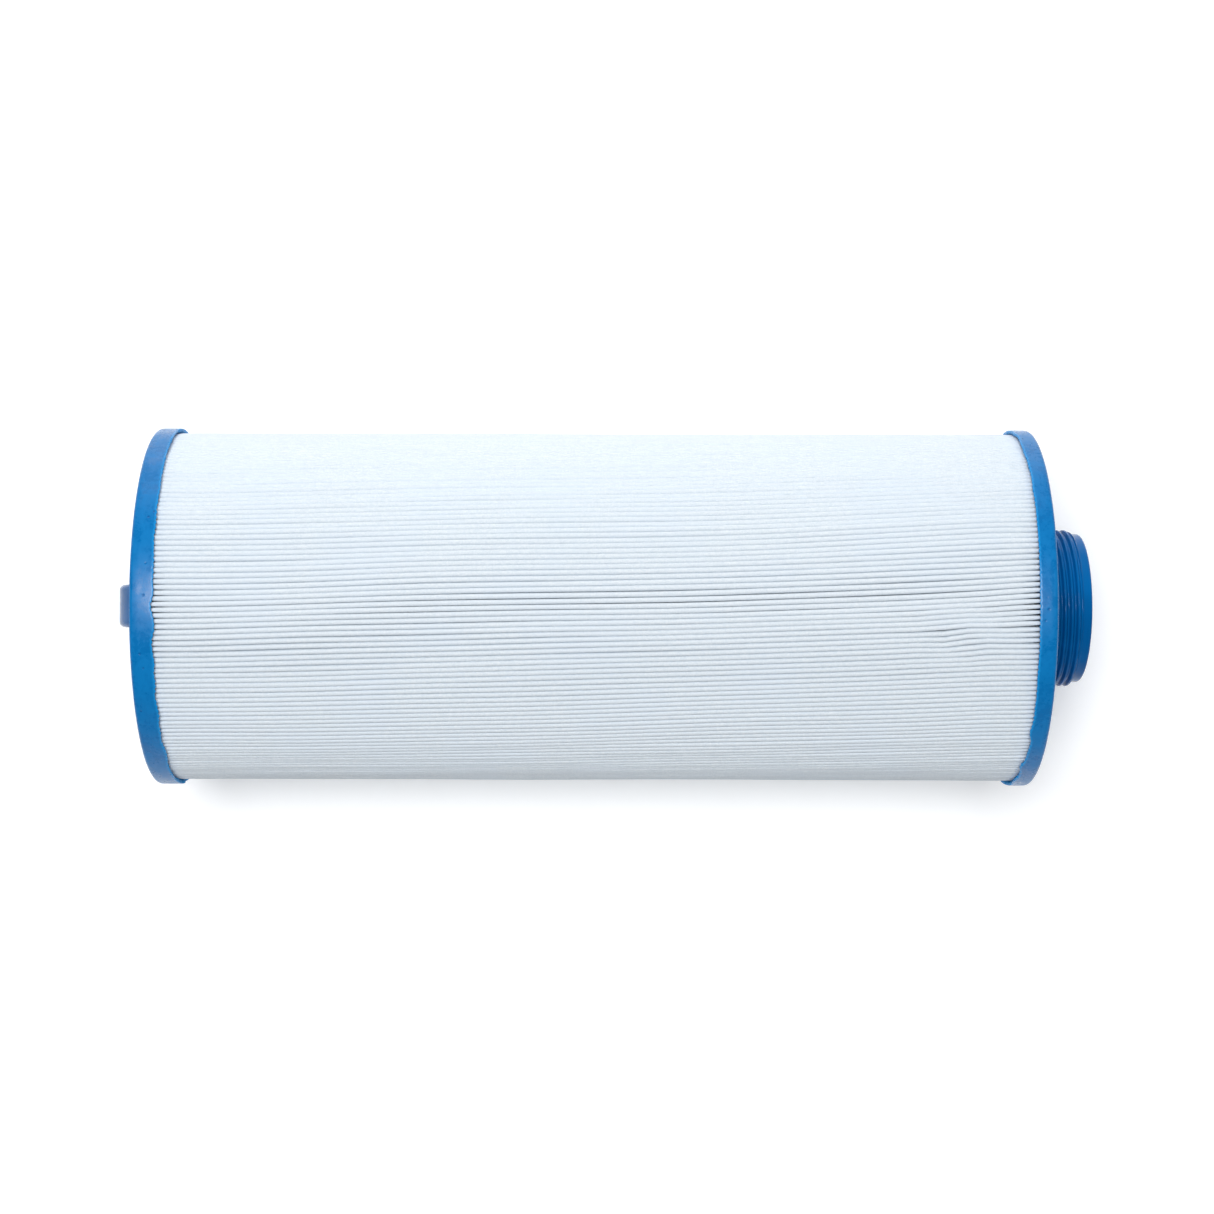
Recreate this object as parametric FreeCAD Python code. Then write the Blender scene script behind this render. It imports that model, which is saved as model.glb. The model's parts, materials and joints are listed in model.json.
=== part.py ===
"""Pleated spa filter cartridge with a lift handle and a male threaded outlet.

The cartridge lies on its side on the plane z = 0, with its axis along X: the handle is at the -X end
and the threaded outlet at the +X end. The origin is on that plane, under the middle of its length.
Pieces are first built about the X axis, with x = 0 on the outer face of the handle cap, and are moved
into place when they are written. Everything is in millimetres.
"""

import FreeCAD
import Part
import math
import os

from FreeCAD import Vector

# Overall
CAP_DIAMETER = 125.4
BODY_LENGTH = 304.6  # over the outer faces of both end caps
HANDLE_HEIGHT = 14.6  # above the handle cap's outer face
OUTLET_LENGTH = 18.8  # beyond the outlet cap's outer face

# Cast end caps
HANDLE_CAP_THICKNESS = 7.6
OUTLET_CAP_THICKNESS = 6.2
MEDIA_COVER = 2.8  # resin between a cap's outer face and the end of the pleats
RIM_WALL = 1.4  # resin around the tips of the pleats
RIM_ROUND = 1.3  # rounding of each cap's outer edge
BEAD_WIDTH = 4.6  # raised ring around each outer face
BEAD_HEIGHT = 0.6

# Pleated media
SHEET_THICKNESS = 0.38
TIP_ROUND = 0.62  # outside radius of an outer fold
FOLD_ROUND = 0.06  # inside radius of an inner fold
FOLD_SPACE = 0.08  # the least room between neighbouring inner folds
SEAM_FROM_TIP = 1.2  # from the tips to the outer edge of the glue line
SEAM_WIDTH = 14.0
SEAM_ANGLE = 232.0  # where the ends of the sheet meet, round the axis from +Y towards +Z

# Moulded core
CORE_SHOULDER = 2.45  # how far the core's outside stands beyond the thread's
CORE_WALL = 2.6
CORE_TO_MEDIA = 0.5
SECTION_COUNT = 4
LAP_LENGTH = 5.0
LAP_CLEARANCE = 0.1
LAP_END_GAP = 0.2
WINDOW_WIDTH = 10.0  # round the core
WINDOW_LENGTH = 6.4  # along it
WINDOW_ROUND = 1.6
RIB_WIDTH = 5.4  # the least width of wall between windows side by side
HOOP_WIDTH = 2.4  # the same between windows end to end
END_RING = 4.0  # unbroken wall at each end of a section

# Handle insert
PLATE_COVER = 1.4  # resin over the outside of the anchor plate
PLATE_THICKNESS = 1.8
STRAP_WIDTH = 15.0
STRAP_THICKNESS = 4.4
STRAP_INSET = 1.5  # from the edge of the anchor plate to the foot of the arch
STRAP_ROUND = 2.0
STRAP_INNER_ROUND = 0.8

# Threaded outlet
THREAD_DIAMETER = 55.1
THREADS_PER_INCH = 11
THREAD_CREST_FLAT = 0.54
THREAD_ROOT_FLAT = 0.42
THREAD_FLANK_ANGLE = 27.5
THREAD_CHAMFER = 1.3
PILOT_LENGTH = 2.9
PILOT_UNDER_ROOT = 0.05
PILOT_ROUND = 1.0
NECK_LENGTH = 2.4
OUTLET_WALL = 4.25  # from the bottom of the thread to the bore
BORE_CHAMFER = 1.0
FLANGE_COVER = 1.6  # resin over the outside of the flange
FLANGE_THICKNESS = 2.4

# The groove round the rim of each insert, which the resin fills
KEY_WIDTH = 0.8
KEY_DEPTH = 1.2

INCH = 25.4
NEAR = 1e-4  # two sizes closer than this are the same

# Worked out from the sizes above
CAP_RADIUS = CAP_DIAMETER / 2
THREAD_RADIUS = THREAD_DIAMETER / 2
THREAD_PITCH = INCH / THREADS_PER_INCH
THREAD_FLANK_SLOPE = math.tan(math.radians(THREAD_FLANK_ANGLE))
THREAD_DEPTH = (THREAD_PITCH - THREAD_CREST_FLAT - THREAD_ROOT_FLAT) / 2 / THREAD_FLANK_SLOPE
CORE_RADIUS = THREAD_RADIUS + CORE_SHOULDER
MEDIA_RADIUS = CAP_RADIUS - RIM_WALL
MEDIA_INNER_RADIUS = CORE_RADIUS + CORE_TO_MEDIA
MEDIA_START = MEDIA_COVER
MEDIA_END = BODY_LENGTH - MEDIA_COVER
FOLD_WIDTH = 2 * (FOLD_ROUND + SHEET_THICKNESS)
FOLD_CENTRES_RADIUS = MEDIA_INNER_RADIUS + FOLD_WIDTH / 2
PLEAT_COUNT = math.floor(2 * math.pi * FOLD_CENTRES_RADIUS / (FOLD_WIDTH + FOLD_SPACE))
PITCH_ANGLE = 2 * math.pi / PLEAT_COUNT
CORE_BORE_RADIUS = CORE_RADIUS - CORE_WALL
LAP_RADIUS = CORE_RADIUS - CORE_WALL / 2
PLATE_START = PLATE_COVER
CORE_START = PLATE_START + PLATE_THICKNESS
FLANGE_END = BODY_LENGTH - FLANGE_COVER
FLANGE_START = FLANGE_END - FLANGE_THICKNESS
CORE_END = FLANGE_START - LAP_LENGTH
SECTION_LENGTH = (CORE_END - CORE_START) / SECTION_COUNT
WINDOWED_LENGTH = SECTION_LENGTH - LAP_LENGTH - 2 * END_RING
WINDOW_ROWS = math.floor((WINDOWED_LENGTH + HOOP_WIDTH) / (WINDOW_LENGTH + HOOP_WIDTH))
WINDOW_COLUMNS = math.floor(2 * math.pi * CORE_RADIUS / (WINDOW_WIDTH + RIB_WIDTH))
STRAP_SPAN = 2 * (CORE_RADIUS - STRAP_INSET)
STRAP_RADIUS = ((STRAP_SPAN / 2) ** 2 + HANDLE_HEIGHT ** 2) / (2 * HANDLE_HEIGHT)
THREAD_ROOT_RADIUS = THREAD_RADIUS - THREAD_DEPTH
PILOT_RADIUS = THREAD_ROOT_RADIUS - PILOT_UNDER_ROOT
OUTLET_BORE_RADIUS = THREAD_ROOT_RADIUS - OUTLET_WALL
THREAD_START = BODY_LENGTH + NECK_LENGTH
OUTLET_END = BODY_LENGTH + OUTLET_LENGTH
THREAD_END = OUTLET_END - PILOT_LENGTH
ROW_SHIFT = Vector((HANDLE_HEIGHT - OUTLET_END) / 2, 0, CAP_RADIUS)

AXIS = Vector(1, 0, 0)
START = Vector(0, 0, 0)


# ---- helpers ---------------------------------------------------------------------------------

def outline(points):
    """A closed wire through (x, radius) points in the XY plane."""
    corners = [Vector(x, r, 0) for x, r in points]
    return Part.makePolygon(corners + corners[:1])


def turned(points):
    """The solid that an outline of (x, radius) points sweeps about the X axis."""
    return Part.Face(outline(points)).revolve(START, AXIS, 360)


def disc(x_from, x_to, radius):
    return Part.makeCylinder(radius, x_to - x_from, Vector(x_from, 0, 0), AXIS)


def ring(x_from, x_to, outer, inner):
    return disc(x_from, x_to, outer).cut(disc(x_from, x_to, inner))


def circles_at(shape, x, radius):
    """The circular edges of a turned shape that lie at this place and have this radius."""
    return [
        edge for edge in shape.Edges
        if isinstance(edge.Curve, Part.Circle)
        and abs(edge.Curve.Radius - radius) < NEAR
        and abs(edge.Curve.Center.x - x) < NEAR
    ]


def key_groove(middle):
    """The cutter for the groove that keys an insert into its cap."""
    half = KEY_WIDTH / 2
    return ring(middle - half, middle + half, CORE_RADIUS + KEY_DEPTH, CORE_RADIUS - KEY_DEPTH)


def polar(radius, angle):
    """A point in the YZ plane, at this angle from +Y towards +Z."""
    return Vector(0, radius * math.cos(angle), radius * math.sin(angle))


# ---- pleated sheet ---------------------------------------------------------------------------

class Pleat:
    """One pleat's section: an outer fold centred on angle 0 and an inner fold half a pitch on.

    Both folds are round. The straight wall between them touches the outer fold on one side and the
    inner fold on the other, so each face of the sheet is an arc, a line, an arc and a line in turn.
    """

    def __init__(self):
        self.tip_mid = TIP_ROUND - SHEET_THICKNESS / 2
        self.fold_mid = FOLD_ROUND + SHEET_THICKNESS / 2
        self.tip_centre = MEDIA_RADIUS - TIP_ROUND
        between = polar(FOLD_CENTRES_RADIUS, PITCH_ANGLE / 2) - polar(self.tip_centre, 0)
        lean = math.acos((self.tip_mid + self.fold_mid) / between.Length)
        self.normal_angle = math.atan2(between.z, between.y) - lean

    def wall_end(self, at_tip, outside, angle, side):
        """Where a wall's outside or inside face meets a fold. side is 1 for the wall on the +angle side."""
        half = SHEET_THICKNESS / 2 if outside else -SHEET_THICKNESS / 2
        if at_tip:
            centre = polar(self.tip_centre, angle)
            reach = self.tip_mid + half
        else:
            centre = polar(FOLD_CENTRES_RADIUS, angle + side * PITCH_ANGLE / 2)
            reach = half - self.fold_mid
        return centre + polar(reach, angle + side * self.normal_angle)

    def tip_top(self, outside, angle):
        half = SHEET_THICKNESS / 2 if outside else -SHEET_THICKNESS / 2
        return polar(self.tip_centre + self.tip_mid + half, angle)

    def fold_bottom(self, outside, angle):
        half = SHEET_THICKNESS / 2 if outside else -SHEET_THICKNESS / 2
        return polar(FOLD_CENTRES_RADIUS - self.fold_mid + half, angle)


def sheet_face_edges(pleat, outside):
    """One face of the sheet, from one side of the seam round to the other."""
    edges = []
    for k in range(PLEAT_COUNT):
        angle = math.radians(SEAM_ANGLE) + k * PITCH_ANGLE
        if k > 0:
            rising = pleat.wall_end(True, outside, angle, -1)
            falling = pleat.wall_end(True, outside, angle, 1)
            edges.append(Part.Arc(rising, pleat.tip_top(outside, angle), falling).toShape())
        high = pleat.wall_end(True, outside, angle, 1)
        low = pleat.wall_end(False, outside, angle, 1)
        edges.append(Part.LineSegment(high, low).toShape())
        next_low = pleat.wall_end(False, outside, angle + PITCH_ANGLE, -1)
        bottom = pleat.fold_bottom(outside, angle + PITCH_ANGLE / 2)
        edges.append(Part.Arc(low, bottom, next_low).toShape())
        next_high = pleat.wall_end(True, outside, angle + PITCH_ANGLE, -1)
        edges.append(Part.LineSegment(next_low, next_high).toShape())
    return edges


def make_pleated_media():
    """The whole sheet, pleated and closed round the core. Its two ends stand side by side at the seam."""
    pleat = Pleat()
    outer = sheet_face_edges(pleat, True)
    inner = sheet_face_edges(pleat, False)
    seam = math.radians(SEAM_ANGLE)
    first, last = [
        Part.LineSegment(
            pleat.wall_end(True, False, seam, side),
            pleat.wall_end(True, True, seam, side),
        ).toShape()
        for side in (1, -1)
    ]
    wire = Part.Wire([first, *outer, last, *reversed(inner)])
    section = Part.Face(wire)
    section.translate(Vector(MEDIA_START, 0, 0))
    return section.extrude(Vector(MEDIA_END - MEDIA_START, 0, 0))


def make_media_seam():
    """The glue line between the sheet's two end walls, which face each other across the clean side."""
    pleat = Pleat()
    seam = math.radians(SEAM_ANGLE)
    corners = []
    for side in (1, -1):
        high = pleat.wall_end(True, False, seam, side)
        low = pleat.wall_end(False, False, seam, side)
        wall = low - high
        wall.normalize()
        pair = [high + wall * SEAM_FROM_TIP, high + wall * (SEAM_FROM_TIP + SEAM_WIDTH)]
        corners += pair if side == 1 else reversed(pair)
    section = Part.Face(Part.makePolygon(corners + corners[:1]))
    section.translate(Vector(MEDIA_START, 0, 0))
    return section.extrude(Vector(MEDIA_END - MEDIA_START, 0, 0))


# ---- core ------------------------------------------------------------------------------------

def window(x, angle):
    """A cutter for one rounded window, through one side of the core wall."""
    block = Part.makeBox(
        WINDOW_LENGTH, WINDOW_WIDTH, CORE_WALL * 3,
        Vector(x - WINDOW_LENGTH / 2, -WINDOW_WIDTH / 2, CORE_RADIUS - CORE_WALL * 2),
    )
    upright = [e for e in block.Edges if abs(e.tangentAt(e.FirstParameter).z) > 0.99]
    block = block.makeFillet(WINDOW_ROUND, upright)
    block.rotate(START, AXIS, angle)
    return block


def make_core_section(index):
    """A moulded length of core, with a socket at the handle end and a spigot at the outlet end."""
    start = CORE_START + index * SECTION_LENGTH
    end = start + SECTION_LENGTH
    socket_end = start + LAP_LENGTH
    spigot_end = end + LAP_LENGTH - LAP_END_GAP
    body = turned([
        (start, CORE_RADIUS),
        (end, CORE_RADIUS),
        (end, LAP_RADIUS - LAP_CLEARANCE),
        (spigot_end, LAP_RADIUS - LAP_CLEARANCE),
        (spigot_end, CORE_BORE_RADIUS),
        (socket_end, CORE_BORE_RADIUS),
        (socket_end, LAP_RADIUS),
        (start, LAP_RADIUS),
    ])
    first = socket_end + END_RING + WINDOW_LENGTH / 2
    last = end - END_RING - WINDOW_LENGTH / 2
    step = (last - first) / (WINDOW_ROWS - 1)
    windows = [
        window(first + row * step, column * 360 / WINDOW_COLUMNS)
        for row in range(WINDOW_ROWS)
        for column in range(WINDOW_COLUMNS)
    ]
    return body.cut(Part.makeCompound(windows))


# ---- handle insert ---------------------------------------------------------------------------

def arch(inset):
    """The outline of the handle's arch, or of the gap under it, carried down to the anchor plate."""
    radius = STRAP_RADIUS - inset
    centre_x = STRAP_RADIUS - HANDLE_HEIGHT
    foot = math.sqrt(radius ** 2 - centre_x ** 2)
    left, right = Vector(0, 0, -foot), Vector(0, 0, foot)
    top = Vector(centre_x - radius, 0, 0)
    deep_left, deep_right = Vector(PLATE_START, 0, -foot), Vector(PLATE_START, 0, foot)
    return Part.Wire([
        Part.Arc(left, top, right).toShape(),
        Part.makePolygon([right, deep_right, deep_left, left]),
    ])


def arch_block(inset, width):
    block = Part.Face(arch(inset)).extrude(Vector(0, width, 0))
    block.translate(Vector(0, -width / 2, 0))
    return block


def arc_edges(shape, radius):
    return [
        edge for edge in shape.Edges
        if isinstance(edge.Curve, Part.Circle) and abs(edge.Curve.Radius - radius) < NEAR
    ]


def make_strap():
    strap = arch_block(0, STRAP_WIDTH).cut(arch_block(STRAP_THICKNESS, STRAP_WIDTH * 2))
    strap = strap.makeFillet(STRAP_ROUND, arc_edges(strap, STRAP_RADIUS))
    return strap.makeFillet(STRAP_INNER_ROUND, arc_edges(strap, STRAP_RADIUS - STRAP_THICKNESS))


def make_lift_handle():
    """A strap on a round anchor plate, whose spigot closes the end of the core."""
    plate = disc(PLATE_START, CORE_START, CORE_RADIUS).cut(key_groove(PLATE_START + PLATE_THICKNESS / 2))
    spigot_end = CORE_START + LAP_LENGTH - LAP_END_GAP
    spigot = ring(CORE_START, spigot_end, LAP_RADIUS - LAP_CLEARANCE, CORE_BORE_RADIUS)
    return plate.fuse([spigot, make_strap()]).removeSplitter()


# ---- threaded outlet -------------------------------------------------------------------------

def thread_groove():
    """The helical cutter that leaves the thread standing on the outlet's crest cylinder."""
    over = 0.3  # how far the cutter stands out of the crest cylinder
    start = THREAD_START - THREAD_PITCH
    turns_length = THREAD_END - THREAD_START + 2 * THREAD_PITCH
    half_root = THREAD_ROOT_FLAT / 2
    half_mouth = half_root + (THREAD_DEPTH + over) * THREAD_FLANK_SLOPE
    helix = Part.makeLongHelix(THREAD_PITCH, turns_length, THREAD_ROOT_RADIUS)
    profile = Part.makePolygon([
        Vector(THREAD_ROOT_RADIUS, 0, -half_root),
        Vector(THREAD_ROOT_RADIUS, 0, half_root),
        Vector(THREAD_RADIUS + over, 0, half_mouth),
        Vector(THREAD_RADIUS + over, 0, -half_mouth),
        Vector(THREAD_ROOT_RADIUS, 0, -half_root),
    ])
    sweep = Part.BRepOffsetAPI.MakePipeShell(Part.Wire(helix.Edges))
    sweep.setFrenetMode(True)
    sweep.add(profile)
    sweep.build()
    sweep.makeSolid()
    groove = sweep.shape()
    groove.rotate(START, Vector(0, 1, 0), 90)
    groove.translate(Vector(start, 0, 0))
    return groove


def make_threaded_outlet():
    """The male threaded spigot, with the flange that is cast in and the collar that takes the core."""
    bore = OUTLET_BORE_RADIUS
    body = turned([
        (CORE_END, CORE_RADIUS),
        (FLANGE_END, CORE_RADIUS),
        (FLANGE_END, PILOT_RADIUS),
        (THREAD_START, PILOT_RADIUS),
        (THREAD_START + THREAD_CHAMFER / 2, THREAD_RADIUS),
        (THREAD_END - THREAD_CHAMFER, THREAD_RADIUS),
        (THREAD_END, PILOT_RADIUS),
        (OUTLET_END, PILOT_RADIUS),
        (OUTLET_END, bore + BORE_CHAMFER),
        (OUTLET_END - BORE_CHAMFER, bore),
        (FLANGE_START, bore),
        (FLANGE_START, LAP_RADIUS),
        (CORE_END, LAP_RADIUS),
    ])
    body = body.makeFillet(PILOT_ROUND, circles_at(body, OUTLET_END, PILOT_RADIUS))
    body = body.cut(key_groove((FLANGE_START + FLANGE_END) / 2))
    return body.cut(thread_groove()).Solids[0]


# ---- end caps --------------------------------------------------------------------------------

def cast_cap(points, face_x, inner_x, cast_in):
    """A cap turned from an outline, with its rim rounded, cast round the pieces that it holds."""
    blank = turned(points)
    blank = blank.makeFillet(RIM_ROUND, circles_at(blank, face_x, CAP_RADIUS))
    blank = blank.makeFillet(RIM_WALL / 4, circles_at(blank, inner_x, CAP_RADIUS))
    return blank.cut(cast_in)


def make_handle_cap(cast_in):
    bead_inner = CAP_RADIUS - BEAD_WIDTH
    return cast_cap([
        (BEAD_HEIGHT, 0),
        (BEAD_HEIGHT, bead_inner - BEAD_HEIGHT),
        (0, bead_inner),
        (0, CAP_RADIUS),
        (HANDLE_CAP_THICKNESS, CAP_RADIUS),
        (HANDLE_CAP_THICKNESS, CORE_RADIUS),
        (CORE_START, CORE_RADIUS),
        (CORE_START, 0),
    ], 0, HANDLE_CAP_THICKNESS, cast_in)


def make_outlet_cap(cast_in):
    bead_inner = CAP_RADIUS - BEAD_WIDTH
    inner_x = BODY_LENGTH - OUTLET_CAP_THICKNESS
    return cast_cap([
        (inner_x, CORE_RADIUS),
        (inner_x, CAP_RADIUS),
        (BODY_LENGTH, CAP_RADIUS),
        (BODY_LENGTH, bead_inner),
        (BODY_LENGTH - BEAD_HEIGHT, bead_inner - BEAD_HEIGHT),
        (BODY_LENGTH - BEAD_HEIGHT, PILOT_RADIUS),
        (FLANGE_START, PILOT_RADIUS),
        (FLANGE_START, CORE_RADIUS),
    ], BODY_LENGTH, inner_x, cast_in)


def main():
    media = make_pleated_media()
    seam = make_media_seam()
    handle = make_lift_handle()
    outlet = make_threaded_outlet()
    pieces = {
        "handle_cap": make_handle_cap([media, seam, handle]),
        "lift_handle": handle,
        "pleated_media": media,
        "media_seam": seam,
        "outlet_cap": make_outlet_cap([media, seam, outlet]),
        "threaded_outlet": outlet,
    }
    for index in range(SECTION_COUNT):
        pieces[f"core_section_{index + 1}"] = make_core_section(index)
    os.makedirs("parts", exist_ok=True)
    for name, shape in pieces.items():
        shape.translate(ROW_SHIFT)
        shape.exportStep(f"parts/{name}.step")
        state = "valid" if shape.isValid() else "NOT VALID"
        print(name, state, len(shape.Solids), "solid", len(shape.Faces), "faces")


main()
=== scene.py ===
"""The looks of a pleated spa filter cartridge: pleats, cast caps, moulded fittings, light and camera.

Everything is in metres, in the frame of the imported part: the cartridge lies along X with its threaded
outlet at +X, and stands on z = 0. Sizes that a maker would give in millimetres are written as n * MM.
"""

import json
import math

import bpy
import numpy as np
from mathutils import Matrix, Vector


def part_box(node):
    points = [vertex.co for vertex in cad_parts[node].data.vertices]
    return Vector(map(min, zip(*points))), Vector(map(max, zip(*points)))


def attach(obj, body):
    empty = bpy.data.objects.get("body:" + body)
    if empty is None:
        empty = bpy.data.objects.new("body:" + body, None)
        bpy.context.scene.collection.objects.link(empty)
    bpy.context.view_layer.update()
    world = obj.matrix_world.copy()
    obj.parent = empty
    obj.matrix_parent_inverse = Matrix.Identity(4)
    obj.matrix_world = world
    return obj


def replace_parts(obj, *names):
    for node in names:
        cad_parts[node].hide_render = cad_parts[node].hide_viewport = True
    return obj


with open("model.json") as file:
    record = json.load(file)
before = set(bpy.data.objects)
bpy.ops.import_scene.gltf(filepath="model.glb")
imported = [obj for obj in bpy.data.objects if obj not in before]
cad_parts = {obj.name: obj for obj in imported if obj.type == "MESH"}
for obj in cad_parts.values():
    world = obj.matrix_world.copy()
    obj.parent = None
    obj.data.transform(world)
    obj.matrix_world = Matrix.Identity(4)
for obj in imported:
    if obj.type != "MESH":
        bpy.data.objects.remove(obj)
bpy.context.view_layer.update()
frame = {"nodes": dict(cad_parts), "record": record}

MM = 0.001
INCH = 25.4 * MM


def corners(node):
    low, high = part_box(node)
    return np.array(low), np.array(high)


# ---- places taken from the frame -------------------------------------------------------------

HANDLE_CAP_LOW, HANDLE_CAP_HIGH = corners("handle_cap")
OUTLET_CAP_LOW, OUTLET_CAP_HIGH = corners("outlet_cap")
MEDIA_LOW, MEDIA_HIGH = corners("pleated_media")
CORE_LOW, CORE_HIGH = corners("core_section_1")
AXIS_HEIGHT = (HANDLE_CAP_LOW[2] + HANDLE_CAP_HIGH[2]) / 2
CAP_RADIUS = (HANDLE_CAP_HIGH[1] - HANDLE_CAP_LOW[1]) / 2
MEDIA_RADIUS = (MEDIA_HIGH[1] - MEDIA_LOW[1]) / 2
CORE_RADIUS = (CORE_HIGH[1] - CORE_LOW[1]) / 2

# Pleats
PLEATS = 202
SHEET = 0.38 * MM
FOLD_BOTTOM = CORE_RADIUS + 0.5 * MM  # radius of the inner folds
FOLD_CLIMB = 1.3 * MM  # from the bottom of an inner fold up to its straight walls
TIP_DEPTH = 2.4 * MM  # from a tip down to its straight walls
TIP_ROUNDNESS = 0.8  # how much of its half width a tip falls away at its sides
WALL_TAPER = 0.94  # how wide a pleat is under its tip, as a share of the tip
FOOT_GAP = 0.06 * MM  # what keeps neighbouring pleats apart at their feet
FOOT_STAYS = 0.9  # how much of a tip's lean its feet don't follow
END_INSET = 1.6 * MM  # the drawn sheet ends this far short of the CAD sheet, inside the caps
PLEAT_PITCH = 2 * math.pi * MEDIA_RADIUS / PLEATS
TIP_HALF_WIDTH = 0.468 * PLEAT_PITCH
SEAM_ANGLE = 232  # where the CAD sheet's ends meet, in degrees from +Y towards +Z
SEAM_TURN = (90 - SEAM_ANGLE) / 360 % 1  # the same place as a turn from the top: the first pleat's middle
SEAM_WIDTH = 14 * MM
TWIST = 9.5 * MM  # how far the tips shift round the axis from one cap to the other
STATIONS = 30  # places along the sheet where its section is drawn
END_CROWDING = 0.1  # how much closer together the stations are near the sheet's ends

# Caps
RIM_ROUND = 1.3 * MM
LIP_THICKNESS = 1.25 * MM
BEAD_WIDTH = 4.6 * MM
BEAD_HEIGHT = 0.6 * MM
CAP_STEPS = PLEATS * 6
# painted highlight: the rows below get a lighter cyan in the resin's colour, a lit line along the lip
# edge
LIP_HIGHLIGHT_ROWS = slice(13, 19)  # the rows of a cap's section that lie on its lip
PLATE_COVER = 1.4 * MM
FLANGE_COVER = 1.6 * MM
CORE_CLEARANCE = 0.02 * MM
CENTRE_HOLE = 0.05 * MM  # keeps the closed cap's grid from meeting itself on the axis

# Threaded outlet
MOUNTS = {mount["name"]: mount["dims"] for mount in frame["record"]["mounts"]}
OUTLET_LOW, OUTLET_HIGH = corners("threaded_outlet")
BORE_RADIUS = MOUNTS["outlet_bore"]["r_mm"] * MM
PILOT_RADIUS = MOUNTS["outlet_pilot"]["r_mm"] * MM
THREAD_RADIUS = MOUNTS["outlet_thread"]["r_mm"] * MM
NECK_LENGTH = 2.4 * MM
PILOT_LENGTH = 2.9 * MM
PILOT_ROUND = 1.0 * MM
COLLAR_LENGTH = 5 * MM
THREAD_START = OUTLET_CAP_HIGH[0] + NECK_LENGTH
THREAD_END = OUTLET_HIGH[0] - PILOT_LENGTH
THREADS_PER_INCH = 11
THREAD_PITCH = INCH / THREADS_PER_INCH
THREAD_ROOT_FLAT = 0.42 * MM
THREAD_FLANK = 0.675 * MM  # a flank's width along the axis
THREAD_OVER_PILOT = 0.05 * MM
THREAD_FADE_IN = 0.65 * MM
THREAD_FADE_OUT = 1.3 * MM
THREAD_ROW_STEP = 0.11 * MM
COLLAR_BORE = 28.7 * MM
OUTLET_STEPS = 288
COLLAR_END = OUTLET_LOW[0] + COLLAR_LENGTH
FLANGE_END = OUTLET_CAP_HIGH[0] - FLANGE_COVER


# ---- smooth random wandering -----------------------------------------------------------------

def eased(t):
    return t * t * (3 - 2 * t)


def wander(rng, turns, run, cells_round, cells_along):
    """Smooth values between about -1 and 1 at each (turn, run) pair. turns go from 0 to 1 round the axis
    and join up; run goes from 0 to 1 along it."""
    lattice = rng.uniform(-1, 1, (cells_round, cells_along + 2))
    u = (np.asarray(turns) % 1) * cells_round
    v = np.asarray(run) * cells_along
    i, j = np.floor(u).astype(int), np.floor(v).astype(int)
    fu, fv = eased(u - i), eased(v - j)
    i, i_next = i % cells_round, (i + 1) % cells_round
    j_next = np.minimum(j + 1, cells_along + 1)
    near = lattice[i, j] * (1 - fv) + lattice[i, j_next] * fv
    far = lattice[i_next, j] * (1 - fv) + lattice[i_next, j_next] * fv
    return near * (1 - fu) + far * fu


def falloff(distance, reach):
    """1 at no distance, easing to 0 at reach."""
    return 1 - eased(np.clip(np.abs(distance) / reach, 0, 1))


def turn_distance(a, b):
    """How far apart two turns round the axis are, between -0.5 and 0.5."""
    return (a - b + 0.5) % 1 - 0.5


# ---- meshes ----------------------------------------------------------------------------------

def new_piece(name, vertices, faces):
    mesh = bpy.data.meshes.new(name)
    mesh.from_pydata(vertices.reshape(-1, 3).tolist(), [], faces)
    mesh.validate()
    mesh.shade_smooth()
    piece = bpy.data.objects.new(name, mesh)
    bpy.context.scene.collection.objects.link(piece)
    return piece


def grid_piece(name, points):
    """A closed piece through a grid of points [row, column] that joins up both ways, like a ring."""
    rows, columns = points.shape[:2]
    row = np.arange(rows)[:, None] * columns
    column = np.arange(columns)[None, :]
    a, b = row + column, row + (column + 1) % columns
    c, d = (b + columns) % (rows * columns), (a + columns) % (rows * columns)
    return new_piece(name, points, np.stack([a, b, c, d], -1).reshape(-1, 4).tolist())


def round_axis(x, radius, angle):
    """Points at a radius from the cartridge's axis. Angles start at the top and run towards +Y."""
    return np.stack([x, radius * np.sin(angle), AXIS_HEIGHT + radius * np.cos(angle)], -1)


# ---- pleated media ---------------------------------------------------------------------------

def stations(start, end):
    """Places along the sheet, closer together near its ends."""
    t = np.linspace(0, 1, STATIONS)
    return start + (end - start) * (t - END_CROWDING * np.sin(2 * math.pi * t))


def twist_at(run):
    """How far the whole sheet is turned round the axis, in radians, at each place along it."""
    return TWIST / MEDIA_RADIUS * (0.45 * run + 0.55 * run ** 2 - 0.4)


def pleat_offsets(rng, turns, run, from_end):
    """How each pleat leans sideways, how wide its tip is and how far it is pushed in, at each station."""
    shared = wander(rng, turns, run, 15, 3) * 0.75 * MM + wander(rng, turns, run, 34, 6) * 0.3 * MM
    own = wander(rng, turns, run, PLEATS, 7) * 0.13 * MM
    held = 1 - 0.85 * falloff(from_end, 22 * MM)
    lean = (shared + own) * held
    crowding = np.clip(np.sin(2 * math.pi * turns), 0, 1) ** 0.7  # the +Y side is packed tighter
    width = 1 + 0.05 * wander(rng, turns, run, PLEATS, 9) + 0.045 * crowding
    width = width - 0.26 * falloff(from_end, 9 * MM) - 0.10 * falloff(from_end, 3.5 * MM)
    push = 0.2 * MM * (1 + wander(rng, turns, run, PLEATS, 5))
    push = push + 0.14 * MM * (1 + wander(rng, turns, run, 20, 5))
    push = push + 0.12 * MM * falloff(from_end, 6 * MM)
    return lean, width, push


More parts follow.
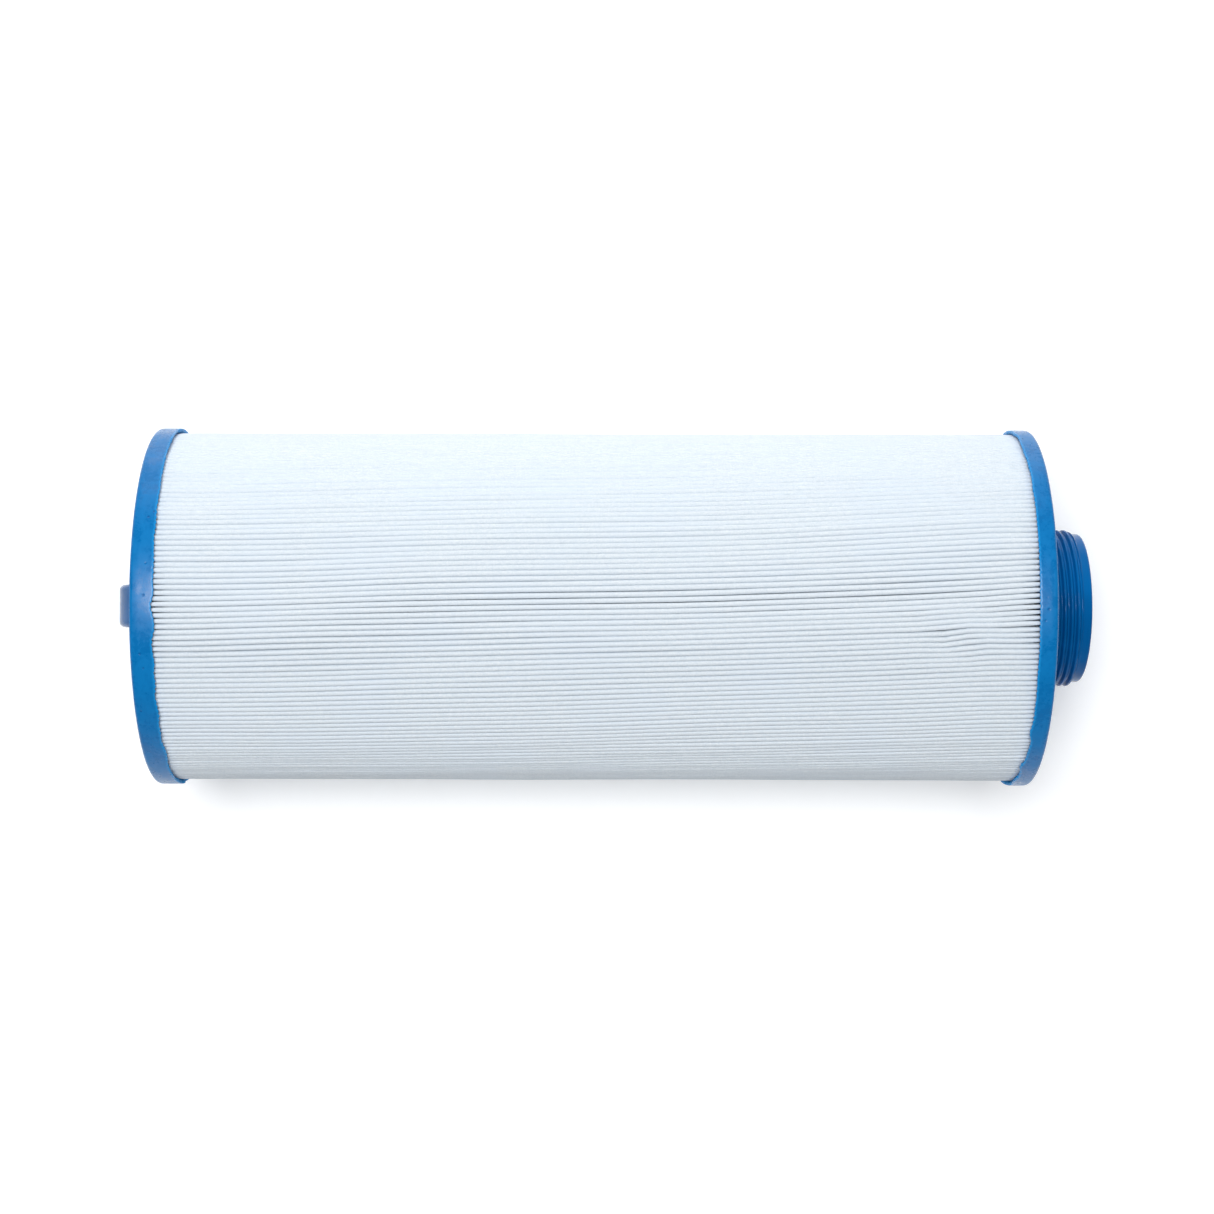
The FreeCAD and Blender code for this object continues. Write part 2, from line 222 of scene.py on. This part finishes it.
def open_gaps(turns, run, lean, width):
    """A few pleats stand apart from their neighbours, for part of their length."""
    # (turn round the axis, middle and half length along it, how far the pleats part in millimetres)
    partings = [
        (-0.022, 0.20, 0.26, 0.08), (-0.031, 0.10, 0.20, 0.08), (-0.045, 0.95, 0.24, 0.09),
        (-0.029, 0.98, 0.16, 0.11), (-0.041, 0.55, 0.24, 0.07), (0.30, 0.4, 0.3, 0.12),
        (0.66, 0.7, 0.25, 0.12), (0.47, 0.2, 0.2, 0.1),
    ]
    for turn, middle, reach, gap in partings:
        side = turn_distance(turns, turn) * PLEATS
        part = falloff(run - middle, reach) * gap * MM
        lean = lean + np.sign(side) * part * falloff(side, 5)
        width = width - 0.03 * falloff(run - middle, reach) * falloff(side, 1.5)
    return lean, width


def crease(turns, run, lean, push):
    """A patch where the tips were knocked sideways and dented."""
    turn, middle = -0.039, 0.905
    near = falloff(turn_distance(turns, turn) * PLEATS, 8) * falloff(run - middle, 0.075)
    wave = np.sin((run - middle) * 60 + turn_distance(turns, turn) * 90)
    return lean + near * 0.6 * MM * wave, push + near * 0.1 * MM


def pleat_section(middle, valley_before, half_width, top):
    """One pleat's points as (angle, radius), first round the outside of the sheet and then the inside."""
    def across(offset, radius):
        return middle + offset / radius, radius

    shoulder = top - TIP_DEPTH
    low = np.full_like(top, FOLD_BOTTOM + FOLD_CLIMB)
    fold = np.full_like(top, FOLD_BOTTOM)
    foot_outer = (math.pi / PLEATS) * low - FOOT_GAP
    wall_width = half_width * WALL_TAPER
    outer = [(valley_before, fold + SHEET), across(-foot_outer, low), across(-wall_width, shoulder)]
    for angle in np.radians([-72, -36, 0, 36, 72]):
        fallen = half_width * TIP_ROUNDNESS * (1 - math.cos(angle))
        outer.append(across(half_width * math.sin(angle), top - fallen))
    outer += [across(wall_width, shoulder), across(foot_outer, low)]
    inner_width = wall_width - SHEET
    inner = [
        (valley_before, fold), across(SHEET - foot_outer, low), across(-inner_width, shoulder),
        across(0 * top, top - SHEET), across(inner_width, shoulder), across(foot_outer - SHEET, low),
    ]
    return outer, inner


def make_media():
    """The pleated sheet, as one closed piece round the core, and the points of its clean side."""
    rng = np.random.default_rng(12)
    xs = stations(MEDIA_LOW[0] + END_INSET, MEDIA_HIGH[0] - END_INSET)
    run_of = (xs - xs[0]) / (xs[-1] - xs[0])
    turns, run = np.meshgrid(SEAM_TURN + np.arange(PLEATS) / PLEATS, run_of, indexing="ij")
    from_end = np.broadcast_to(np.minimum(xs - xs[0], xs[-1] - xs), turns.shape)
    lean, width, push = pleat_offsets(rng, turns, run, from_end)
    lean, width = open_gaps(turns, run, lean, width)
    lean, push = crease(turns, run, lean, push)
    # neighbouring tips are kept from passing through each other
    for _ in range(3):
        room = PLEAT_PITCH * 1.02 - 2 * TIP_HALF_WIDTH * width
        close = np.roll(lean, -1, 0) - lean + np.maximum(room, 0)
        shift = np.clip(-close, 0, None) / 2
        lean = lean - shift + np.roll(shift, 1, 0)
    upright = turns * 2 * math.pi + twist_at(run)
    middle = upright + lean / MEDIA_RADIUS
    valley_before = upright - math.pi / PLEATS
    outer, inner = pleat_section(middle, valley_before, TIP_HALF_WIDTH * width, MEDIA_RADIUS - push)
    x = np.broadcast_to(xs, turns.shape)
    # points [station, pleat, point]; walls low down stay put while the tips lean
    skins = []
    for skin, foot_points in ((outer, (1, len(outer) - 1)), (inner, (1, len(inner) - 1))):
        layers = []
        for index, (angle, radius) in enumerate(skin):
            if index in foot_points:
                angle = angle - lean / MEDIA_RADIUS * FOOT_STAYS
            layers.append(round_axis(x, radius, angle))
        points = np.stack(layers, 1)  # pleat, point, station
        skins.append(points.transpose(2, 0, 1, 3).reshape(STATIONS, -1, 3))
    outside, inside = skins
    outside_count = outside.shape[1]
    inside_count = inside.shape[1]
    vertices = np.concatenate([outside.reshape(-1, 3), inside.reshape(-1, 3)])
    faces = []
    skin_rows = ((0, outside_count, True), (outside_count * STATIONS, inside_count, False))
    for offset, count, flip in skin_rows:
        row = np.arange(STATIONS - 1)[:, None] * count
        column = np.arange(count)[None, :]
        a, b = offset + row + column, offset + row + (column + 1) % count
        quad = np.stack([a, b, b + count, a + count], -1).reshape(-1, 4)
        faces += (quad[:, ::-1] if flip else quad).tolist()
    media = new_piece("media_pleats", vertices, faces + end_faces(outside_count, inside_count))
    return media, inside


def end_faces(outside_count, inside_count):
    """Faces that join the two skins of the sheet at its first and last stations."""
    # which outer point is level with which inner point, round one pleat
    outer_size, inner_size = outside_count // PLEATS, inside_count // PLEATS
    pairs = [(0, 0), (1, 1), (2, 2), (5, 3), (8, 4), (9, 5), (10, 6)]
    faces = []
    for station in (0, STATIONS - 1):
        outer_row = station * outside_count
        inner_row = outside_count * STATIONS + station * inside_count
        for k in range(PLEATS):
            for (o0, i0), (o1, i1) in zip(pairs, pairs[1:]):
                outer = [outer_row + (k * outer_size + o) % outside_count for o in range(o0, o1 + 1)]
                inner = [inner_row + (k * inner_size + i) % inside_count for i in (i1, i0)]
                face = outer + inner
                faces.append(face if station == 0 else face[::-1])
    return faces


def make_seam(inside):
    """The glue line that fills the first pleat from wall to wall. inside holds the sheet's clean side as
    points [station, point], in the order that pleat_section gives them."""
    low_before, high_before, high_after, low_after = (inside[:, index] for index in (1, 2, 4, 5))

    def down(high, low):
        wall = low - high
        return high + wall * (SEAM_WIDTH / np.linalg.norm(wall, axis=-1, keepdims=True))

    corners = [high_before, down(high_before, low_before), down(high_after, low_after), high_after]
    points = np.stack(corners, 1)
    row = np.arange(STATIONS - 1)[:, None] * 4
    column = np.arange(4)[None, :]
    a, b = row + column, row + (column + 1) % 4
    faces = np.stack([a, b, b + 4, a + 4], -1).reshape(-1, 4).tolist()
    last = 4 * (STATIONS - 1)
    faces += [[3, 2, 1, 0], [last, last + 1, last + 2, last + 3]]
    seam = new_piece("media_seam_glue", points, faces)
    seam.data.set_sharp_from_angle(angle=math.radians(38))
    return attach(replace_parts(seam, "media_seam"), "root")


# ---- cast caps -------------------------------------------------------------------------------

def cap_profile(turns, face_x, inward, thickness, wander_of):
    """A cap's section at each turn, as (x, radius) pairs from the outer face round the rim to the core.
    inward is +1 where the media is towards +X from the face, and -1 where it is towards -X."""
    edge = CAP_RADIUS + 0.05 * MM * wander_of(18) - 0.06 * MM
    ragged = np.clip(0.35 + 0.9 * wander_of(6), 0.12, 1)
    lip = thickness + 0.3 * MM * wander_of(9)
    lip = lip + ragged * MM * (0.5 * wander_of(61) + 0.42 * wander_of(101))
    # resin has crept up between the pleats, more in some places than in others
    creep = np.clip(0.35 + 0.55 * wander_of(13) + 0.35 * wander_of(47), 0, 1)
    from_first = (turns - SEAM_TURN) * 2 * math.pi - twist_at(0.0 if inward > 0 else 1.0)
    between = 0.5 - 0.5 * np.cos(from_first * PLEATS)
    groove = (1 - creep) * 1.3 * MM * (0.5 + 0.5 * between)
    # it edges forward in small teeth between the pleats, and in places runs on along the gaps
    lip = lip + (0.1 + 0.09 * wander_of(PLEATS)) * MM * (2 * between - 1)
    run_on = np.clip(1.5 * wander_of(17) - 0.35, 0, 1) * (0.9 + 0.5 * wander_of(PLEATS)) * MM
    run_on = run_on * between ** 2
    bead = CAP_RADIUS - BEAD_WIDTH + 0.12 * MM * wander_of(11)
    dish = BEAD_HEIGHT + 0.12 * MM * wander_of(7)
    lip_edge = CAP_RADIUS - LIP_THICKNESS + 0.16 * MM * wander_of(83)
    flat = np.zeros_like(turns)
    profile = [
        (dish, bead - 7 * MM),
        (dish * 0.96, bead - 1.4 * MM),
        (dish * 0.72, bead - 0.5 * MM),
        (dish * 0.2, bead),
        (flat, bead + 0.5 * MM),
        (flat, edge - RIM_ROUND),
    ]
    for angle in np.radians([22, 45, 68, 90]):
        profile.append((RIM_ROUND * (1 - math.cos(angle)), edge - RIM_ROUND * (1 - math.sin(angle))))
    profile += [
        (thickness * 0.45, edge + 0.02 * MM),
        (thickness * 0.75, edge + 0.01 * MM),
        (lip - 0.8 * MM, edge),
        (lip - 0.22 * MM, edge - 0.01 * MM),
        (lip - 0.06 * MM, edge - 0.07 * MM),
        (lip, edge - 0.24 * MM),
        (lip - 0.03 * MM, (edge + lip_edge) / 2 - 0.1 * MM),
        (lip - 0.2 * MM, lip_edge + 0.05 * MM),
        (lip - 0.25 * MM - groove * 0.6 + run_on * 0.6, lip_edge - 0.22 * MM),
        (lip - 0.3 * MM - groove + run_on * 1.2, MEDIA_RADIUS - 0.35 * MM),
        (lip - 0.5 * MM - groove * 0.8 + run_on, MEDIA_RADIUS - 1.6 * MM),
        (thickness - 1.5 * MM + flat, MEDIA_RADIUS - 5 * MM),
        (thickness - 1.8 * MM + flat, CORE_RADIUS + 1 * MM),
        (thickness - 1.8 * MM + flat, CORE_RADIUS + CORE_CLEARANCE),
    ]
    return [(face_x + inward * (u + flat), r + flat) for u, r in profile]


def make_cap(name, seed, face_x, inward, thickness, inner_profile):
    """A cast cap turned round the axis, whose section wanders a little. inner_profile closes it inside
    the core's radius, as (distance in from the outer face, radius) pairs back to the outer face."""
    rng = np.random.default_rng(seed)
    turns = np.arange(CAP_STEPS) / CAP_STEPS

    def wander_of(cells):
        return wander(rng, turns, turns * 0, cells, 1)

    profile = cap_profile(turns, face_x, inward, thickness, wander_of)
    flat = np.zeros_like(turns)
    profile += [(face_x + inward * u + flat, r + flat) for u, r in inner_profile]
    rows = [round_axis(x, r, turns * 2 * math.pi) for x, r in profile]
    points = np.stack(rows)
    if inward < 0:
        points = points[:, ::-1]
    cap = grid_piece(name, points)
    # painted highlight: the lip's rows are marked so the resin paints them a lighter cyan
    lip_highlight = cap.data.attributes.new("painted_lip_highlight", "FLOAT", "POINT")
    shares = np.zeros(points.shape[:2])
    shares[LIP_HIGHLIGHT_ROWS, :] = 1
    lip_highlight.data.foreach_set("value", shares.ravel())
    return cap


def make_handle_cap():
    """The closed cap: resin covers the anchor plate of the handle."""
    thickness = HANDLE_CAP_HIGH[0] - HANDLE_CAP_LOW[0]
    cap = make_cap("handle_cap_cast", 3, HANDLE_CAP_LOW[0], 1, thickness, [
        (PLATE_COVER, CORE_RADIUS + CORE_CLEARANCE), (PLATE_COVER, CENTRE_HOLE),
        (0.6 * MM, CENTRE_HOLE), (0.6 * MM, 0.3 * MM), (0.6 * MM, 1 * MM), (0.6 * MM, 6 * MM),
        (0.6 * MM, 12 * MM), (0.64 * MM, 22 * MM), (0.66 * MM, 30 * MM), (0.62 * MM, 44 * MM),
    ])
    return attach(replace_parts(cap, "handle_cap"), "root")


def make_outlet_cap():
    """The open cap: a ring of resin round the threaded outlet's neck."""
    thickness = OUTLET_CAP_HIGH[0] - OUTLET_CAP_LOW[0]
    cap = make_cap("outlet_cap_cast", 8, OUTLET_CAP_HIGH[0], -1, thickness, [
        (FLANGE_COVER, CORE_RADIUS + CORE_CLEARANCE), (FLANGE_COVER, PILOT_RADIUS),
        (0.1 * MM, PILOT_RADIUS), (0.32 * MM, PILOT_RADIUS + 0.5 * MM),
        (0.56 * MM, PILOT_RADIUS + 1.8 * MM), (0.66 * MM, 38 * MM), (0.62 * MM, 46 * MM),
    ])
    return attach(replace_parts(cap, "outlet_cap"), "root")


# ---- threaded outlet -------------------------------------------------------------------------

def thread_radius(x, turns):
    """The moulded thread's surface: a right-hand groove with rounded shoulders, fading at both ends."""
    coil = (x - THREAD_START) / THREAD_PITCH + turns - 0.5
    from_root = np.abs(coil - np.round(coil)) * THREAD_PITCH
    climb = np.clip((from_root - THREAD_ROOT_FLAT / 2) / THREAD_FLANK, 0, 1)
    crest = THREAD_RADIUS - PILOT_RADIUS
    rounded = 0.35 * climb + 0.65 * eased(climb)
    rise = rounded * (crest - THREAD_OVER_PILOT) + THREAD_OVER_PILOT
    fade_in = np.clip((x - THREAD_START) / THREAD_FADE_IN, 0, 1) * crest
    fade_out = eased(np.clip((THREAD_END - x) / THREAD_FADE_OUT, 0, 1)) * crest
    return PILOT_RADIUS + np.minimum(rise, np.minimum(fade_in, fade_out))


def make_threaded_outlet():
    """The moulded spigot: the collar, the flange, the thread, the pilot land and the bore."""
    turns = np.arange(OUTLET_STEPS) / OUTLET_STEPS
    flat = np.zeros_like(turns)
    end = OUTLET_HIGH[0]
    profile = [
        (OUTLET_LOW[0], COLLAR_BORE), (OUTLET_LOW[0], CORE_RADIUS), (FLANGE_END, CORE_RADIUS),
        (FLANGE_END, PILOT_RADIUS), (THREAD_START, PILOT_RADIUS),
    ]
    rows_along = round((THREAD_END - THREAD_START) / THREAD_ROW_STEP)
    for x in np.linspace(THREAD_START, THREAD_END, rows_along)[1:]:
        profile.append((x, thread_radius(x, turns)))
    for angle in np.radians(np.linspace(0, 90, 7)):
        turned_in = PILOT_ROUND * (1 - math.cos(angle))
        profile.append((end - PILOT_ROUND * (1 - math.sin(angle)), PILOT_RADIUS - turned_in))
    profile += [
        (end, BORE_RADIUS + 1.12 * MM), (end - 0.06 * MM, BORE_RADIUS + 1 * MM),
        (end - 0.94 * MM, BORE_RADIUS + 0.06 * MM), (end - 1.1 * MM, BORE_RADIUS),
        (COLLAR_END, BORE_RADIUS), (COLLAR_END, COLLAR_BORE),
    ]
    points = np.stack([round_axis(x + flat, r + flat, turns * 2 * math.pi) for x, r in profile])
    outlet = grid_piece("threaded_outlet_moulding", points)
    outlet.data.set_sharp_from_angle(angle=math.radians(38))
    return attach(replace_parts(outlet, "threaded_outlet"), "root")


# ---- shader maths ----------------------------------------------------------------------------

class Value:
    """A number on a shader socket. Arithmetic on it adds the Math nodes."""

    def __init__(self, material, socket):
        self.material = material
        self.socket = socket

    def _maths(self, operation, first, second):
        return self.material.node("ShaderNodeMath", {"operation": operation}, [first, second])

    def __add__(self, other):
        return self._maths("ADD", self, other)

    def __radd__(self, other):
        return self._maths("ADD", other, self)

    def __sub__(self, other):
        return self._maths("SUBTRACT", self, other)

    def __rsub__(self, other):
        return self._maths("SUBTRACT", other, self)

    def __mul__(self, other):
        return self._maths("MULTIPLY", self, other)

    def __rmul__(self, other):
        return self._maths("MULTIPLY", other, self)


class Material:
    """A material whose nodes are added by calls. Its principled shader is ready to be fed."""

    def __init__(self, name, **constants):
        self.made = bpy.data.materials.new(name)
        self.made.use_nodes = True
        self.tree = self.made.node_tree
        self.shader = self.tree.nodes["Principled BSDF"]
        for socket, value in constants.items():
            self.shader.inputs[socket.replace("_", " ")].default_value = value
        self.place = Value(self, self.tree.nodes.new("ShaderNodeTexCoord").outputs["Object"])

    def node(self, kind, settings, inputs, output=0):
        """Adds a node: its settings first, then its sockets by number or name, and gives one output."""
        node = self.tree.nodes.new(kind)
        for name, value in settings.items():
            setattr(node, name, value)
        pairs = inputs.items() if isinstance(inputs, dict) else enumerate(inputs)
        for key, value in pairs:
            if isinstance(value, Value):
                self.tree.links.new(value.socket, node.inputs[key])
            else:
                node.inputs[key].default_value = value
        return Value(self, node.outputs[output])

    def attribute(self, name):
        return self.node("ShaderNodeAttribute", {"attribute_name": name}, [], output=2)

    def stretched(self, scale):
        return self.node("ShaderNodeVectorMath", {"operation": "MULTIPLY"}, [self.place, scale])

    def noise(self, scale, detail=2.0, roughness=0.5, where=None, warp=0.0):
        return self.node("ShaderNodeTexNoise", {}, {
            "Vector": where or self.place, "Scale": scale, "Detail": detail,
            "Roughness": roughness, "Distortion": warp,
        })

    def cells(self, scale, where=None, randomness=1.0):
        return self.node("ShaderNodeTexVoronoi", {}, {
            "Vector": where or self.place, "Scale": scale, "Randomness": randomness,
        })

    def between(self, value, low, high, to_low=0.0, to_high=1.0):
        """value taken from low..high to to_low..to_high, smoothly, and kept inside it."""
        return self.node("ShaderNodeMapRange", {"interpolation_type": "SMOOTHSTEP"}, {
            "Value": value, "From Min": low, "From Max": high, "To Min": to_low, "To Max": to_high,
        })

    def mix(self, share, first, second):
        """Two colours, or numbers as greys, mixed by share."""
        return self.node(
            "ShaderNodeMix", {"data_type": "RGBA", "clamp_factor": True},
            {0: share, 6: first, 7: second}, output=2,
        )

    def feed(self, socket, value):
        self.tree.links.new(value.socket, self.shader.inputs[socket])

    def bumps(self, *heights):
        """Each (height, depth in metres) pair raises the surface, one bump on top of the other."""
        below = None
        for height, depth in heights:
            inputs = {"Height": height, "Strength": 1.0, "Distance": depth}
            if below is not None:
                inputs["Normal"] = below
            below = self.node("ShaderNodeBump", {}, inputs)
        self.feed("Normal", below)


def colour(red, green, blue):
    """A colour given in display values from 0 to 255."""
    def linear(v):
        v /= 255
        return v / 12.92 if v <= 0.04045 else ((v + 0.055) / 1.055) ** 2.4
    return (linear(red), linear(green), linear(blue), 1.0)


# ---- materials -------------------------------------------------------------------------------

def filter_cloth():
    """Stiff white spunbond polyester: fine tangled fibres, a faint grid of bond points, clouding."""
    m = Material("filter_cloth", Sheen_Weight=0.15, Sheen_Roughness=0.5, Specular_IOR_Level=0.3)
    fibres = m.noise(1500, 3.0, 0.65, where=m.stretched((0.45, 1, 1)), warp=0.6)
    crossing = m.noise(2100, 2.0, 0.6, where=m.stretched((1, 0.6, 0.6)), warp=0.8)
    cloud = m.noise(38, 3.0, 0.55)
    bond = m.between(m.cells(900, randomness=0.15), 0.12, 0.4)
    fine = m.between(fibres * 0.6 + crossing * 0.4, 0.32, 0.68)
    fresh, shaded = colour(217, 224, 230), colour(202, 212, 221)
    body = m.mix(fine, shaded, fresh)
    dusty = m.mix(m.between(cloud, 0.42, 0.66, 0.0, 0.45), body, colour(208, 218, 228))
    m.feed("Base Color", m.mix((1 - bond) * 0.12, dusty, colour(192, 204, 217)))
    m.feed("Roughness", m.between(fine, 0.0, 1.0, 0.74, 0.92))
    m.bumps((fine, 0.03 * MM), (bond, 0.012 * MM), (cloud, 0.08 * MM))
    return m.made


def cast_resin():
    """Blue cast polyurethane: glossy, with dull smears, soft waves and small pits from bubbles, plus a
    painted highlight along the lip edge and painted shade in the pits.
    """
    m = Material("cast_resin", IOR=1.42, Coat_Roughness=0.2, Specular_IOR_Level=0.27)
    waves = m.noise(75, 2.0, 0.5)
    smear = m.noise(150, 5.0, 0.62, where=m.stretched((1.0, 0.55, 0.55)), warp=0.7)
    speckle = m.noise(620, 4.0, 0.6)
    pits = m.cells(310)
    pit = m.between(pits, 0.05, 0.2)
    chosen = m.between(m.noise(85, 1.0), 0.55, 0.62)
    pitted = 1 - (1 - pit) * chosen
    mottled = m.between(smear * 0.6 + speckle * 0.4, 0.38, 0.62)
    base = m.mix(mottled, colour(2, 103, 167), colour(4, 114, 179))
    # painted highlight: a lighter cyan line painted along the lip edge
    lip_highlighted = m.mix(m.attribute("painted_lip_highlight") * 0.8, base, colour(20, 138, 205))
    # painted shade: the floors of the pits are darkened towards deep blue
    m.feed("Base Color", m.mix((1 - pitted) * 0.55, lip_highlighted, colour(3, 62, 124)))
    m.feed("Roughness", m.between(mottled, 0.0, 1.0, 0.24, 0.36))
    m.feed("Coat Weight", m.between(smear, 0.4, 0.6, 0.06, 0.0))
    m.bumps((waves, 0.35 * MM), (speckle, 0.035 * MM), (pitted, 0.1 * MM))
    return m.made


def moulded_blue():
    """Injection moulded blue plastic: smooth and glossy, with faint flow marks and fine scuffs."""
    m = Material("moulded_blue", IOR=1.34, Coat_Roughness=0.1, Specular_IOR_Level=0.16)
    flow = m.noise(55, 2.0, 0.5, where=m.stretched((0.4, 1, 1)))
    scuff = m.noise(900, 5.0, 0.7, where=m.stretched((0.15, 1, 1)))
    grain = m.noise(2600, 2.0, 0.5)
    body = m.mix(m.between(flow, 0.35, 0.65), colour(2, 84, 144), colour(5, 96, 160))
    m.feed("Base Color", body)
    m.feed("Roughness", m.between(scuff, 0.45, 0.7, 0.14, 0.26))
    m.feed("Coat Weight", m.between(flow, 0.35, 0.65, 0.0, 0.08))
    m.bumps((flow, 0.05 * MM), (scuff, 0.002 * MM), (grain, 0.001 * MM))
    return m.made


def moulded_white():
    """Satin white moulding of the core, with flow marks and a fine grain."""
    m = Material("moulded_white", IOR=1.47)
    flow = m.noise(60, 2.0)
    grain = m.noise(1800, 3.0)
    body = m.mix(m.between(flow, 0.35, 0.65), colour(226, 229, 231), colour(238, 240, 241))
    m.feed("Base Color", body)
    m.feed("Roughness", m.between(grain, 0.35, 0.65, 0.42, 0.58))
    m.bumps((flow, 0.1 * MM), (grain, 0.015 * MM))
    return m.made


def seam_glue():
    """Milky hot-melt glue, with a rippled surface."""
    m = Material("seam_glue", IOR=1.48)
    ripple = m.noise(180, 3.0, where=m.stretched((0.5, 1, 1)))
    body = m.mix(m.between(ripple, 0.35, 0.65), colour(222, 222, 212), colour(238, 238, 230))
    m.feed("Base Color", body)
    m.feed("Roughness", m.between(ripple, 0.35, 0.65, 0.35, 0.55))
    m.bumps((ripple, 0.3 * MM), (m.noise(900, 2.0), 0.03 * MM))
    return m.made


def table_top():
    """A white sweep, which glows a little so that it stays white away from the lamps."""
    m = Material(
        "table_top", Roughness=0.75, Specular_IOR_Level=0.25,
        Emission_Color=(1, 1, 1, 1), Emission_Strength=0.2,
    )
    patchy = m.between(m.noise(3.0), 0.3, 0.7)
    m.feed("Base Color", m.mix(patchy, colour(247, 248, 249), colour(249, 250, 251)))
    return m.made


def dress(piece, material):
    piece.data.materials.clear()
    piece.data.materials.append(material)


# ---- the pieces ------------------------------------------------------------------------------

media, clean_side = make_media()
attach(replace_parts(media, "pleated_media"), "root")
seam = make_seam(clean_side)
handle_cap = make_handle_cap()
outlet_cap = make_outlet_cap()
outlet = make_threaded_outlet()

resin = cast_resin()
blue = moulded_blue()
white = moulded_white()
dress(media, filter_cloth())
dress(handle_cap, resin)
dress(outlet_cap, resin)
dress(outlet, blue)
dress(frame["nodes"]["lift_handle"], blue)
for number in range(1, 5):
    dress(frame["nodes"][f"core_section_{number}"], white)
dress(seam, seam_glue())


# ---- floor, light and camera -----------------------------------------------------------------

FLOOR_HALF_SIZE = 3.0
LIGHT_WALL_LIGHT = 0.7
SHADE_WALL_LIGHT = 0.46
CEILING_SHARE = 0.15
CAMERA_ABOVE_AXIS = 0.829
CAMERA_ALONG = -4.2 * MM
CAMERA_ROLL = math.radians(0.13)


def make_floor(half_size):
    mesh = bpy.data.meshes.new("floor")
    signs = [(-1, -1), (1, -1), (1, 1), (-1, 1)]
    mesh.from_pydata([(half_size * x, half_size * y, 0) for x, y in signs], [], [(0, 1, 2, 3)])
    floor = bpy.data.objects.new("floor", mesh)
    bpy.context.scene.collection.objects.link(floor)
    dress(floor, table_top())


def soft_box(name, place, target, width, height, power):
    light = bpy.data.lights.new(name, "AREA")
    light.shape = "RECTANGLE"
    light.size, light.size_y = width, height
    light.energy = power
    lamp = bpy.data.objects.new(name, light)
    lamp.location = place
    lamp.rotation_euler = (Vector(target) - Vector(place)).to_track_quat("-Z", "Y").to_euler()
    bpy.context.scene.collection.objects.link(lamp)


def studio_sky():
    """A room with a dark ceiling, whose wall is brighter on the +Y side than on the -Y side."""
    world = bpy.data.worlds.new("studio")
    world.use_nodes = True
    tree = world.node_tree
    direction = tree.nodes.new("ShaderNodeTexCoord")
    parts = tree.nodes.new("ShaderNodeSeparateXYZ")
    tree.links.new(direction.outputs["Generated"], parts.inputs[0])

    def eased_range(source, start, end, to_start, to_end):
        ramp = tree.nodes.new("ShaderNodeMapRange")
        ramp.interpolation_type = "SMOOTHSTEP"
        limits = {"From Min": start, "From Max": end, "To Min": to_start, "To Max": to_end}
        for name, value in limits.items():
            ramp.inputs[name].default_value = value
        tree.links.new(source, ramp.inputs["Value"])
        return ramp.outputs[0]

    wall = eased_range(parts.outputs["Y"], -0.8, 0.8, SHADE_WALL_LIGHT, LIGHT_WALL_LIGHT)
    height = eased_range(parts.outputs["Z"], 0.0, 0.85, 1.0, CEILING_SHARE)
    both = tree.nodes.new("ShaderNodeMath")
    both.operation = "MULTIPLY"
    tree.links.new(wall, both.inputs[0])
    tree.links.new(height, both.inputs[1])
    tree.links.new(both.outputs[0], tree.nodes["Background"].inputs["Strength"])
    tree.nodes["Background"].inputs["Color"].default_value = (1, 1, 1, 1)
    bpy.context.scene.world = world


def make_light():
    target = (0, 0, AXIS_HEIGHT)
    studio_sky()
    soft_box("overhead_softbox", (-0.13, 0.19, 1.65), target, width=0.75, height=0.75, power=25.8)
    soft_box("side_softbox", (-0.1, 1.05, 0.34), target, width=0.8, height=0.42, power=1.9)
    soft_box("low_softbox", (0, 0.29, 0.03), (0, 0.05, 0.07), width=0.44, height=0.045, power=0.11)
    bpy.context.scene.view_settings.view_transform = "Standard"


def make_camera():
    data = bpy.data.cameras.new("camera")
    data.sensor_width = 36
    data.lens = 69.5
    data.shift_x = 0.0161
    camera = bpy.data.objects.new("camera", data)
    camera.location = (CAMERA_ALONG, 0, AXIS_HEIGHT + CAMERA_ABOVE_AXIS)
    camera.rotation_euler = (0, 0, CAMERA_ROLL)
    bpy.context.scene.collection.objects.link(camera)
    bpy.context.scene.camera = camera


make_floor(FLOOR_HALF_SIZE)
make_light()
make_camera()
